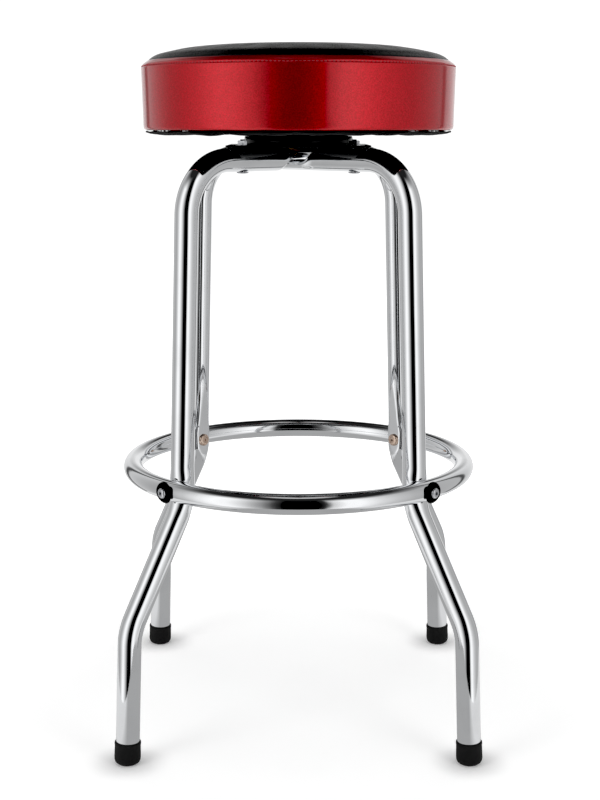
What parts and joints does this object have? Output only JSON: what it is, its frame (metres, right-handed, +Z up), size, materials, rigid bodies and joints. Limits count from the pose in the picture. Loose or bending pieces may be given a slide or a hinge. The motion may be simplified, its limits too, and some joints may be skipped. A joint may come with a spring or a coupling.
{
  "type": "bar stool",
  "caption": "Backless bar stool with a round padded seat on a ball swivel, bent chrome tube legs and a round foot ring.",
  "frame": {"origin": "on the floor, under the swivel axis", "axes": "+Z up along the swivel axis, front of the stool towards -Y"},
  "size_m": [0.4034, 0.4034, 0.762],
  "materials": {
    "chrome_tube": "polished chrome plate",
    "black_steel": "satin black paint",
    "zinc_steel": "bright zinc plate",
    "tinted_steel": "warm-tinted zinc plate",
    "bearing_steel": "ground and polished",
    "black_rubber": "matt moulded rubber",
    "black_vinyl": "semi-gloss upholstery vinyl",
    "red_vinyl": "pearlescent upholstery vinyl",
    "foam": "open-cell foam",
    "plywood": "unfinished",
    "black_cloth": "non-woven dust cloth"
  },
  "bodies": {
    "frame": {"leg_frame_upper": "chrome_tube", "leg_frame_lower": "chrome_tube", "foot_ring": "chrome_tube", "swivel_lower_plate": "black_steel", "swivel_retaining_ring": "black_steel", "foot_cap_front_right": "black_rubber", "ring_bolt_front_right": "tinted_steel", "ring_cap_nut_front_right": "zinc_steel", "ring_washer_front_right": "black_rubber", "plate_bolt_front_right": "zinc_steel", "plate_nut_front_right": "zinc_steel", "foot_cap_back_right": "black_rubber", "ring_bolt_back_right": "tinted_steel", "ring_cap_nut_back_right": "zinc_steel", "ring_washer_back_right": "black_rubber", "plate_bolt_back_right": "zinc_steel", "plate_nut_back_right": "zinc_steel", "foot_cap_back_left": "black_rubber", "ring_bolt_back_left": "tinted_steel", "ring_cap_nut_back_left": "zinc_steel", "ring_washer_back_left": "black_rubber", "plate_bolt_back_left": "zinc_steel", "plate_nut_back_left": "zinc_steel", "foot_cap_front_left": "black_rubber", "ring_bolt_front_left": "tinted_steel", "ring_cap_nut_front_left": "zinc_steel", "ring_washer_front_left": "black_rubber", "plate_bolt_front_left": "zinc_steel", "plate_nut_front_left": "zinc_steel"},
    "ball_cage": {"bearing_cage": "zinc_steel", "bearing_ball_1": "bearing_steel", "bearing_ball_2": "bearing_steel", "bearing_ball_3": "bearing_steel", "bearing_ball_4": "bearing_steel", "bearing_ball_5": "bearing_steel", "bearing_ball_6": "bearing_steel", "bearing_ball_7": "bearing_steel", "bearing_ball_8": "bearing_steel", "bearing_ball_9": "bearing_steel", "bearing_ball_10": "bearing_steel", "bearing_ball_11": "bearing_steel", "bearing_ball_12": "bearing_steel"},
    "seat": {"seat_top_cover": "black_vinyl", "seat_side_band": "red_vinyl", "seat_foam": "foam", "seat_board": "plywood", "seat_dust_cover": "black_cloth", "swivel_upper_plate": "black_steel", "seat_screw_front_right": "zinc_steel", "seat_screw_back_right": "zinc_steel", "seat_screw_back_left": "zinc_steel", "seat_screw_front_left": "zinc_steel"}
  },
  "joints": [
    {"name": "seat_swivel", "type": "hinge", "parent": "frame", "child": "seat", "pos_m": [0, 0, 0.6552], "axis": [0, 0, 1], "continuous": true},
    {"name": "cage_roll", "type": "hinge", "parent": "frame", "child": "ball_cage", "pos_m": [0, 0, 0.6552], "axis": [0, 0, 1], "continuous": true}
  ],
  "couplings": [
    {"joint": "cage_roll", "follows": "seat_swivel", "ratio": 0.5}
  ]
}
